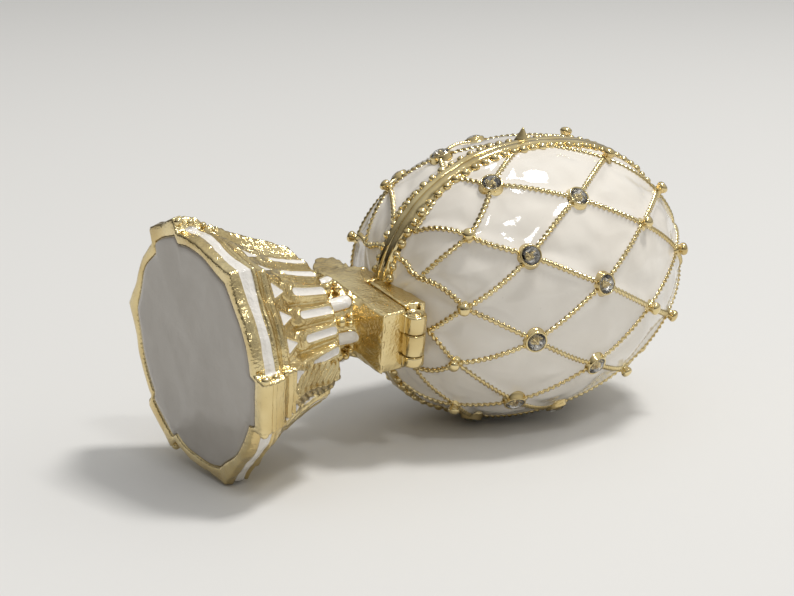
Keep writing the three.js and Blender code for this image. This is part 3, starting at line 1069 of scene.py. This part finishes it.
@dataclass
class Foot:
    """The three-cornered foot, its fluted bell and the neck, in millimetres and degrees."""

    columns: int = 456
    side_radius: float = 15.5
    facet_reach: float = 16.95
    facet_half_angle: float = 11.2
    point_rise: float = 1.6
    point_half_angle: float = 17.0
    panel_radius: float = 14.15
    panel_thickness: float = 0.8
    flute_pitch: float = 15.0
    petals: int = 7
    petal_turn: float = 220.5
    bracket_width: float = 4.2
    bracket_front: float = 9.5
    bracket_back: float = 6.5
    # Heights and radii of the side between a corner and a point, then how far the outline's corners
    # and points still show there.
    levels: tuple[tuple[float, float, float], ...] = (
        (0.0, 15.2, 1.0), (0.18, 15.42, 1.0), (1.2, 15.62, 1.0), (1.42, 15.52, 1.0), (1.56, 15.3, 1.0),
        (2.3, 15.42, 1.0), (3.05, 15.28, 1.0), (3.2, 15.44, 1.0), (3.5, 15.46, 1.0), (3.7, 15.2, 1.0),
        (4.1, 14.7, 1.0), (4.9, 14.15, 0.95), (5.05, 14.3, 0.95), (5.5, 14.3, 0.92), (5.7, 13.85, 0.9),
        (6.3, 13.4, 0.86), (7.6, 12.75, 0.78), (9.0, 12.15, 0.64), (10.5, 11.5, 0.5), (12.0, 10.95, 0.36),
        (13.5, 10.5, 0.24), (15.0, 10.15, 0.1), (15.6, 9.95, 0.04), (15.95, 9.55, 0.0), (16.1, 9.0, 0.0),
        (16.2, 6.6, 0.0), (16.4, 5.1, 0.0), (18.0, 5.0, 0.0), (20.0, 5.15, 0.0), (21.0, 5.35, 0.0),
        (21.8, 5.5, 0.0), (22.9, 5.5, 0.0))

    def build(self, palette: Palette) -> None:
        """Builds the foot and the panel under it.

        Args:
            palette: The box's materials.
        """
        body, inlay = self.casting()
        finished("foot_casting", body, [palette.foot], "base", ("pedestal",),
                 fields={"inlay": inlay})
        finished("neck_scrolls", self.neck_scrolls(), [palette.polished], "base")
        finished("foot_panel", self.panel(), [palette.panel], "base", ("base_panel",))

    def corner_turn(self, direction: Array) -> Array:
        """Signed angle from the nearest clipped corner, from -60 to 60 degrees."""
        return np.mod(direction - 270.0 + 60.0, 120.0) - 60.0

    def outline_rise(self, direction: Array) -> Array:
        """How far the outline stands outside the side radius."""
        turn = np.abs(self.corner_turn(direction))
        facet_turn = np.radians(np.minimum(turn, self.facet_half_angle))
        facet = self.facet_reach / np.cos(facet_turn) - self.side_radius
        corner = facet * (1.0 - smooth(self.facet_half_angle, self.facet_half_angle + 3.0, turn))
        point = self.point_rise * np.clip(1.0 - (60.0 - turn) / self.point_half_angle, 0.0, 1.0) ** 1.9
        return corner + point

    def bracket_reach(self, direction: Array) -> Array:
        """Distance from the axis to the outline of the bracket above the neck."""
        cos, sin = np.cos(np.radians(direction)), np.sin(np.radians(direction))
        across = self.bracket_width / np.maximum(np.abs(cos), 1e-6)
        along = np.where(sin < 0, self.bracket_front, self.bracket_back) / np.maximum(np.abs(sin), 1e-6)
        return np.minimum(across, along)

    def panel_edge(self, direction: Array) -> Array:
        """Distance from the axis to the edge of the panel, which loosely follows the outline."""
        turned = np.stack([np.cos(np.radians(direction)), np.sin(np.radians(direction))], axis=-1) * 14.0
        wander = 0.1 * ripples(np.column_stack([turned, np.zeros(len(turned))]), 6.0, seed=8)
        follow = np.where(np.abs(self.corner_turn(direction)) < 30.0, 0.6, 0.3)
        return self.panel_radius + follow * self.outline_rise(direction) + wander

    def flute_field(self, direction: Array, z: Array, radius: Array) -> tuple[Array, Array]:
        """Relief and inlay of the bell between its leaves.

        Args:
            direction: Degrees round the axis.
            z: Heights.
            radius: Distance from the axis.

        Returns:
            The relief, and the depth inside the inlay (negative outside it).
        """
        across = (np.mod(direction, self.flute_pitch) - self.flute_pitch / 2) * np.pi / 180 * radius
        half_cell = self.flute_pitch / 2 * np.pi / 180 * radius
        overrun = np.maximum(np.abs(z - 12.75) - 2.3, 0.0)
        flute = 0.5 - np.hypot(across, overrun)
        wedge_width = 0.92 * np.clip((8.35 - z) / 2.0, 0.0, 1.0)
        wedge = np.minimum(wedge_width - np.abs(across), np.minimum(z - 6.3, 8.3 - z))
        ridge = 0.22 * bump(flute + 0.2, 0.15)
        channel = -0.1 * smooth(0.0, 0.25, flute)
        groove_foot = 8.2 + 1.2 * (half_cell - np.abs(across))
        groove = bump(np.abs(across) - half_cell, 0.24) * smooth(0.0, 1.4, z - groove_foot + 1.0)
        fan = bump(np.abs(across) - half_cell * np.clip((z - 6.6) / 2.6, 0.0, 1.0), 0.17)
        fan = fan * smooth(7.4, 8.2, z) * (1.0 - smooth(9.4, 10.4, z))
        rib = 0.2 * bump(wedge + 0.22, 0.16) * (z > 6.0) * (z < 9.2)
        second = bump(np.abs(across) - half_cell * 0.74, 0.13) * smooth(9.6, 10.6, z)
        cuts = 0.5 * groove + 0.3 * fan + 0.12 * second
        relief = ridge + channel + rib - cuts * (1.0 - smooth(15.7, 16.0, z))
        return relief, np.maximum(flute, wedge)

    def leaf_field(self, direction: Array, z: Array, radius: Array) -> tuple[Array, Array]:
        """Relief of the leaf that runs up the bell from each corner.

        Args:
            direction: Degrees round the axis.
            z: Heights.
            radius: Distance from the axis.

        Returns:
            The relief, and how much of the leaf covers the bell.
        """
        lean = 2.0 + 12.0 * smooth(7.0, 16.0, z)
        offset = self.corner_turn(direction - lean) * np.pi / 180 * radius
        width = np.interp(z, (5.9, 7.2, 10.0, 13.5, 15.9), (0.8, 2.1, 2.9, 2.9, 2.0))
        cover = smooth(0.0, 0.35, width - np.abs(offset)) * smooth(5.9, 6.4, z) * (1 - smooth(15.9, 16.1, z))
        veins = 0.5 + 0.5 * np.cos(TURN * (z - np.abs(offset) * 1.1) / 1.3)
        midrib = bump(offset, 0.22)
        crown = 0.55 * (1.0 - (np.abs(offset) / np.maximum(width, 0.1)) ** 2)
        return crown + 0.3 * midrib - 0.26 * veins * (1.0 - midrib), cover

    def neck_field(self, direction: Array, z: Array, radius: Array) -> tuple[Array, Array]:
        """Relief and inlay of the neck's petals.

        Args:
            direction: Degrees round the axis.
            z: Heights.
            radius: Distance from the axis.

        Returns:
            The relief, and the depth inside the inlay (negative outside it).
        """
        pitch = 360.0 / self.petals
        turn = np.mod(direction - self.petal_turn + pitch / 2, pitch) - pitch / 2
        across = turn * np.pi / 180 * radius
        overrun = np.maximum(np.abs(z - 19.0) - 1.5, 0.0)
        petal = 0.86 - np.hypot(across, overrun)
        swell = 0.55 * np.sqrt(np.clip((petal + 0.15) / 0.8, 0.0, 1.0))
        return swell, petal

    def casting(self) -> tuple[bmesh.types.BMesh, Array]:
        """Foot, bell and neck as one turned body, pushed out level by level to its relief.

        Returns:
            The body, and the inlay field of its vertices.
        """
        heights = np.concatenate([np.arange(0.0, 16.0, 0.105), np.linspace(16.0, 16.45, 6),
                                  np.arange(16.55, 22.9, 0.16)])
        recess = self.panel_thickness + 0.15
        # Each blank radius stands for a place: the panel's edge, a share of the rim, or the outside.
        edge_blank, rim_blank, side_blank = 30.0, 40.0, 100.0
        rim = [(rim_blank + share, z) for share, z in
               ((0.08, 0.08), (0.22, 0.0), (0.5, -0.02), (0.75, 0.0), (0.9, 0.04))]
        profile = [(0.0, recess), (edge_blank, recess), (edge_blank, 0.3), *rim]
        profile += [(side_blank, z) for z in heights[1:]] + [(0.0, heights[-1])]
        bm = spun(profile, self.columns)
        places = places_of(bm)
        direction = np.degrees(np.arctan2(places[:, 1], places[:, 0]))
        z = places[:, 2]
        level_z, level_r, level_o = np.array(self.levels).T
        radius = np.interp(z, level_z, level_r)
        rise = self.outline_rise(direction)
        shaped = radius + np.interp(z, level_z, level_o) * rise
        flute, flute_inlay = self.flute_field(direction, z, shaped)
        leaf, cover = self.leaf_field(direction, z, shaped)
        petal, petal_inlay = self.neck_field(direction, z, shaped)
        on_bell = smooth(5.9, 6.3, z) * (1.0 - smooth(15.85, 16.05, z))
        relief = on_bell * (flute * (1.0 - cover) + leaf * cover)
        relief = relief + petal * smooth(16.4, 17.0, z) * (1.0 - smooth(20.9, 21.6, z))
        turn = np.abs(self.corner_turn(direction))
        corner = 1.0 - smooth(self.facet_half_angle, self.facet_half_angle + 2.0, turn)
        steps = 0.22 * smooth(2.0, 2.15, z) + 0.25 * smooth(3.1, 3.3, z)
        relief = relief - corner * steps * (z < 5.9) + corner * 0.18 * bump(z - 2.3, 0.8)
        reach = self.bracket_reach(direction)
        flare = np.clip((z - 20.9) / 1.6, 0.0, 1.0) ** 1.7
        shaped = (shaped + relief) * (1.0 - flare) + reach * flare
        cos, sin = np.cos(np.radians(direction)), np.sin(np.radians(direction))
        plain = np.stack([shaped * cos, shaped * sin, z], axis=-1)
        sag = 0.07 * ripples(plain, 3.4, seed=5)
        cast = sag * (1.0 - smooth(5.6, 6.4, z)) + 0.025 * ripples(plain, 1.6, seed=7)
        shaped = shaped + cast + smooth(20.7, 21.3, z) * 0.12 * ripples(plain, 1.1, seed=6)
        outer = np.hypot(places[:, 0], places[:, 1])
        on_side = outer > (rim_blank + side_blank) / 2
        edge = self.panel_edge(direction)
        rim_share = np.clip(outer - rim_blank, 0.0, 1.0)
        sole = (self.side_radius - 0.15 + rise) + sag
        inner = np.where(outer > (edge_blank + rim_blank) / 2, edge + (sole - edge) * rim_share, edge)
        off_axis = outer > edge_blank / 2
        shaped = np.where(on_side, shaped, np.where(off_axis, inner, outer))
        drift = 0.16 * ripples(plain, 8.0, seed=9)
        narrow = 0.45 * bump(turn - 38.0, 13.0)
        band = np.minimum(z - 1.5 - drift, 3.14 - narrow + drift - z)
        band = band - 10.0 * (turn < 13.2)
        inlay = np.maximum(band, np.where(cover > 0.02, -1.0, flute_inlay * on_bell - (1.0 - on_bell)))
        inlay = np.where(z > 16.3, petal_inlay, inlay)
        inlay = np.where(on_side, np.clip(inlay, -1.0, 1.0), -1.0)
        for axis, share in ((0, cos), (1, sin)):
            places[:, axis] = np.where(off_axis, shaped * share, places[:, axis])
        move_to(bm, places)
        return bm, inlay

    def neck_scrolls(self) -> bmesh.types.BMesh:
        """A ball over a small scroll in each gap of the neck's petals, and beads at the corners' ends."""
        pitch = 360.0 / self.petals
        frames = []
        for number in range(self.petals):
            direction = math.radians(self.petal_turn + pitch * (number + 0.5))
            turn = Matrix.Rotation(direction, 4, "Z")
            for place, size in (((5.65, 0, 18.9), 1.0), ((5.7, 0.55, 20.2), 0.62), ((5.7, -0.5, 20.5), 0.5)):
                frames.append(turn @ Matrix.Translation(place) @ Matrix.Scale(size, 4))
        for number in range(6):
            direction = 30.0 + 120.0 * (number // 2) + (12.4 if number % 2 else -12.4)
            turn = Matrix.Rotation(math.radians(direction), 4, "Z")
            for reach, height, size in ((16.75, 0.75, 0.72), (16.35, 2.35, 0.6), (15.7, 4.1, 0.55),
                                        (14.9, 5.4, 0.4)):
                frames.append(turn @ Matrix.Translation((reach, 0, height)) @ Matrix.Scale(size, 4))
        ball = bmesh.new()
        bmesh.ops.create_uvsphere(ball, u_segments=20, v_segments=12, radius=0.82)
        return stamped(ball, frames)

    def panel(self) -> bmesh.types.BMesh:
        """The enamelled panel that closes the underside, its edge cut to the casting's recess."""
        thickness = self.panel_thickness
        profile = [(0.0, 0.2), (0.3, 0.17), (0.6, 0.12), (0.82, 0.1), (0.93, 0.05), (0.985, 0.06), (1.0, 0.2),
                   (1.0, thickness), (0.0, thickness)]
        bm = spun(profile, 300)
        places = places_of(bm)
        direction = np.degrees(np.arctan2(places[:, 1], places[:, 0]))
        edge = self.panel_edge(direction) - 0.02
        waves = 0.05 * ripples(places * np.array([14.0, 14.0, 0.0]), 9.0, seed=15)
        face = (places[:, 2] < 0.3) * (1.0 - smooth(0.8, 0.93, np.hypot(places[:, 0], places[:, 1])))
        move_to(bm, places * np.column_stack([edge, edge, np.ones(len(edge))])
                + np.column_stack([edge * 0, edge * 0, waves * face]))
        return bm


# --- Bracket and hinge --------------------------------------------------------------------------


@dataclass
class HingeWork:
    """The bracket under the egg, the lid's lug and the barrel hinge, in millimetres."""

    half_width: float = 4.2
    front: float = -9.5
    bottom: float = 22.5
    top: float = 26.3
    touch_gap: float = 0.3
    seam_gap: float = 0.3
    axis_y: float = -10.2
    axis_z: float = 27.0
    barrel_radius: float = 1.52
    pin_radius: float = 0.5
    ends: tuple[float, float, float, float] = (-3.8, -1.3, 2.0, 3.4)
    play: float = 0.12
    clearance: float = 0.35

    def build(self, palette: Palette) -> None:
        """Builds the bracket, knuckles, pin and lug.

        Args:
            palette: The box's materials.
        """
        finished("bracket_bar", self.bracket(), [palette.cast], "base")
        finished("fixed_knuckles", self.knuckles(((0, 1), (2, 3)), 0.0), [palette.polished], "base")
        finished("hinge_pin_end", self.pin(), [palette.polished], "base", ("hinge_pin",))
        finished("lid_lug", self.lug(), [palette.cast], "lid")
        finished("lid_knuckle", self.knuckles(((1, 2),), self.play), [palette.polished], "lid")

    def bracket(self) -> bmesh.types.BMesh:
        """The bar, curled up at its back to carry the egg."""
        outline = [(self.front, self.bottom), (2.6, self.bottom + 0.4), (4.8, 22.3), (6.4, 21.9), (8.2, 23.1),
                   (9.3, 24.5), (9.5, 25.7), (9.1, 26.9), (8.0, 27.4), (6.8, 27.1), (5.4, 27.2), (4.6, 27.7),
                   (3.8, 28.7), (2.4, 29.1), (self.seam_gap / 2, 29.0), (self.seam_gap / 2, self.top),
                   (self.front + 0.5, self.top), (self.front, self.top - 0.4)]
        bm = prism(outline, self.half_width, 0.22, cuts=5)
        places = places_of(bm)
        behind = smooth(1.5, 6.5, places[:, 1])
        coarse = ripples(places, 2.8, seed=41)
        fine = ripples(places, 1.0, seed=42)
        push = behind * (0.12 * coarse + 0.08 * fine) + 0.05 * coarse + 0.035 * fine
        centre = np.array([0.0, 2.0, 25.0])
        away = places - centre
        away /= np.linalg.norm(away, axis=1, keepdims=True)
        move_to(bm, places + away * push[:, None])
        return bm

    def knuckles(self, spans: tuple[tuple[int, int], ...], play: float) -> bmesh.types.BMesh:
        """Rolled knuckles between some of the barrel's ends, each with its arm.

        Args:
            spans: Pairs of places in ends.
            play: Room left at both ends of each.

        Returns:
            The knuckles.
        """
        parts = []
        for first, last in spans:
            start, end = self.ends[first] + play, self.ends[last] - play
            parts.append(self.rolled(start, end))
            if play:
                reach = self.axis_y + self.barrel_radius + self.clearance + 0.3
                arm = prism([(self.axis_y, self.axis_z - 0.2), (reach, self.axis_z - 0.2),
                             (reach, self.axis_z + 1.55), (self.axis_y, self.axis_z + 1.55)],
                            (end - start) / 2, 0.08)
            else:
                arm = prism([(self.axis_y, self.axis_z - 1.55), (self.front + 0.6, self.top - 1.1),
                             (self.front + 0.6, self.top - 0.2), (self.axis_y, self.axis_z)],
                            (end - start) / 2, 0.08)
            bmesh.ops.translate(arm, vec=((start + end) / 2, 0, 0), verts=arm.verts)
            parts.append(arm)
        return gathered(parts)

    def rolled(self, start: float, end: float) -> bmesh.types.BMesh:
        """A knuckle rolled from strip, with the turn of the strip showing in both its ends.

        Args:
            start: Where it starts along X.
            end: Where it ends.

        Returns:
            The knuckle.
        """
        half, outside = (end - start) / 2, self.barrel_radius
        face = [(self.pin_radius + 0.04, half - 0.5), (self.pin_radius + 0.04, half - 0.06), (0.62, half),
                (0.8, half), (0.84, half - 0.3), (0.98, half - 0.3), (1.02, half), (outside - 0.2, half),
                (outside - 0.06, half - 0.06), (outside, half - 0.2)]
        bm = spun(face + [(radius, -place) for radius, place in reversed(face)], 64, closed=True)
        place = Matrix.Translation(((start + end) / 2, self.axis_y, self.axis_z))
        bmesh.ops.transform(bm, matrix=place @ Matrix.Rotation(math.pi / 2, 4, "Y"), verts=bm.verts)
        return bm

    def pin(self) -> bmesh.types.BMesh:
        """The pin, a little proud of the barrel at both ends."""
        return rod(self.pin_radius, self.ends[0] - 0.08, self.ends[3] + 0.1, self.axis_y, self.axis_z, 0.12)

    def lug(self) -> bmesh.types.BMesh:
        """The plate under the lid that lies on the bracket."""
        under = self.top + self.touch_gap
        front = self.axis_y + self.barrel_radius + self.clearance
        seam_face = -self.seam_gap / 2
        outline = [(front, under), (seam_face, under), (seam_face, under + 2.3), (-2.3, under + 2.6),
                   (-5.0, under + 3.0), (-8.6, under + 3.1), (-8.95, under + 2.8), (-8.9, under + 2.1),
                   (front, under + 2.0)]
        bm = prism(outline, self.half_width, 0.2, cuts=3)
        places = places_of(bm)
        move_to(bm, places + 0.05 * ripples(places, 1.6, seed=44)[:, None] * np.array([0.0, 0.3, 1.0])
                * smooth(under + 0.3, under + 1.0, places[:, 2])[:, None])
        return bm


@dataclass
class Spike:
    """The pointed boss on the back half's seam band."""

    form: EggForm
    row: int = 3
    lift: float = 0.6
    across: float = 1.1

    def build(self, palette: Palette) -> None:
        """Builds the boss.

        Args:
            palette: The box's materials.
        """
        profile = [(0.0, -0.5), (1.0, -0.5), (1.0, 0.0), (0.8, 0.35), (0.45, 1.0), (0.16, 1.6), (0.0, 1.8)]
        bm = spun(profile, 24)
        radius, height, _, _ = self.form.section(self.form.row_latitude(np.array([float(self.row)])), self.lift)
        place = Matrix.Translation((-radius[0], self.across, height[0])) @ Matrix.Rotation(-math.pi / 2, 4, "Y")
        bmesh.ops.transform(bm, matrix=place, verts=bm.verts)
        finished("seam_spike", bm, [palette.polished], "base")


# --- Studio -------------------------------------------------------------------------------------


@dataclass
class Studio:
    """Camera, floor and lights round the box as it lies on its side, in millimetres and degrees."""

    azimuth: float = -30.798
    elevation: float = -32.596
    roll: float = 75.919
    aim: tuple[float, float, float] = (-2.53, -3.15, 29.13)
    distance: float = 250.0
    lens: float = 85.866
    up: tuple[float, float, float] = (-0.976, 0.204, 0.073)
    resting_point: tuple[float, float, float] = (14.7, -9.5, 0.0)
    floor_radius: float = 3200.0
    lights: tuple[tuple[str, tuple[float, float, float], float, float, Colour], ...] = (
        ("window", (350.0, 130.0, 1000.0), 200.0, 6.4, (1.0, 0.98, 0.95, 1.0)),
        ("lamp", (300.0, -490.0, 850.0), 110.0, 1.3, (1.0, 0.99, 0.97, 1.0)))

    def axes(self) -> Matrix:
        """The studio's own axes: X to the camera's right on the floor, Y away from it, Z up off it."""
        up = Vector(self.up).normalized()
        forward = -self.back()
        away = (forward - up * forward.dot(up)).normalized()
        right = away.cross(up)
        return Matrix((right, away, up)).transposed()

    def back(self) -> Vector:
        """Direction from the object to the camera."""
        azimuth, elevation = math.radians(self.azimuth), math.radians(self.elevation)
        return Vector((math.sin(azimuth) * math.cos(elevation), -math.cos(azimuth) * math.cos(elevation),
                       math.sin(elevation)))

    def build(self) -> None:
        """Sets up the camera, floor, lights and world."""
        self.camera()
        self.floor()
        for name, place, size, power, colour in self.lights:
            self.light(name, place, size, power, colour)
        self.world()

    def camera(self) -> None:
        """The camera, level first and then rolled about its own view."""
        back = self.back()
        azimuth, roll = math.radians(self.azimuth), math.radians(self.roll)
        level = Vector((math.cos(azimuth), math.sin(azimuth), 0.0))
        rise = back.cross(level)
        right = level * math.cos(roll) + rise * math.sin(roll)
        up = back.cross(right)
        turn = Matrix((right, up, back)).transposed().to_4x4()
        data = bpy.data.cameras.new("camera")
        data.lens = self.lens
        data.sensor_width = 36.0
        data.clip_start = 0.005
        data.clip_end = 20.0
        camera = bpy.data.objects.new("camera", data)
        place = (Vector(self.aim) + back * self.distance) * MM
        camera.matrix_world = Matrix.Translation(place) @ turn
        bpy.context.scene.collection.objects.link(camera)
        bpy.context.scene.camera = camera

    def floor(self) -> None:
        """The pale table that the box lies on; it is clear when seen from below."""
        bm = bmesh.new()
        bmesh.ops.create_circle(bm, cap_ends=True, segments=96, radius=self.floor_radius)
        turn = self.axes().to_4x4()
        bmesh.ops.transform(bm, matrix=Matrix.Translation(self.resting_point) @ turn, verts=bm.verts)
        bmesh.ops.scale(bm, vec=(MM, MM, MM), verts=bm.verts)
        mesh = bpy.data.meshes.new("table")
        bm.to_mesh(mesh)
        bm.free()
        material, nodes, shader = blank_material("pale_table")
        shader.inputs["Base Color"].default_value = (0.72, 0.715, 0.70, 1.0)
        shader.inputs["Roughness"].default_value = 0.55
        shader.inputs["Specular IOR Level"].default_value = 0.25
        behind = nodes.add("ShaderNodeNewGeometry").outputs["Backfacing"]
        clear = nodes.add("ShaderNodeBsdfTransparent")
        choice = nodes.add("ShaderNodeMixShader", {0: behind, 1: shader.outputs["BSDF"],
                                                   2: clear.outputs["BSDF"]})
        output = next(node for node in nodes.tree.nodes if node.type == "OUTPUT_MATERIAL")
        nodes.tree.links.new(choice.outputs["Shader"], output.inputs["Surface"])
        mesh.materials.append(material)
        table = bpy.data.objects.new("table", mesh)
        bpy.context.scene.collection.objects.link(table)

    def light(self, name: str, place: tuple[float, float, float], size: float, power: float,
              colour: Colour) -> None:
        """One soft square light that faces the box.

        Args:
            name: Its name.
            place: Where it stands, in the studio's axes from the aim point.
            size: Its side.
            power: Its power in watts.
            colour: Its colour.
        """
        data = bpy.data.lights.new(name, "AREA")
        data.energy = power
        data.size = size * MM
        data.color = colour[:3]
        lamp = bpy.data.objects.new(name, data)
        spot = Vector(self.aim) + self.axes() @ Vector(place)
        away = (spot - Vector(self.aim)).normalized()
        lamp.matrix_world = Matrix.Translation(spot * MM) @ away.to_track_quat("Z", "Y").to_matrix().to_4x4()
        bpy.context.scene.collection.objects.link(lamp)

    def world(self) -> None:
        """Pale room light, brighter overhead than from the dark side of the room."""
        world = bpy.data.worlds.new("room")
        world.use_nodes = True
        world.node_tree.nodes.clear()
        nodes = Nodes(world.node_tree)
        place = nodes.add("ShaderNodeTexCoord").outputs["Generated"]
        toward = self.axes() @ Vector((0.3, 0.1, 0.95)).normalized()
        height = nodes.add("ShaderNodeVectorMath", {0: place, 1: toward[:]}, operation="DOT_PRODUCT")
        share = nodes.ramp(height.outputs["Value"], -0.15, 0.85)
        colour = nodes.mix(share, (0.03, 0.024, 0.018, 1.0), (0.80, 0.80, 0.79, 1.0))
        shader = nodes.add("ShaderNodeBackground", {"Color": colour, "Strength": 0.86})
        nodes.add("ShaderNodeOutputWorld", {"Surface": shader.outputs["Background"]})
        bpy.context.scene.world = world
        bpy.context.scene.view_settings.view_transform = "Standard"


def main() -> None:
    """Builds the box and its studio."""
    logging.basicConfig(level=logging.INFO, format="%(name)s %(message)s")
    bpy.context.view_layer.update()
    Studio().build()
    palette = Palette()
    form = EggForm()
    Foot().build(palette)
    HingeWork().build(palette)
    for half in Half:
        HalfEgg(half, form).build(palette)
    Spike(form).build(palette)


if __name__ == "__main__":
    main()
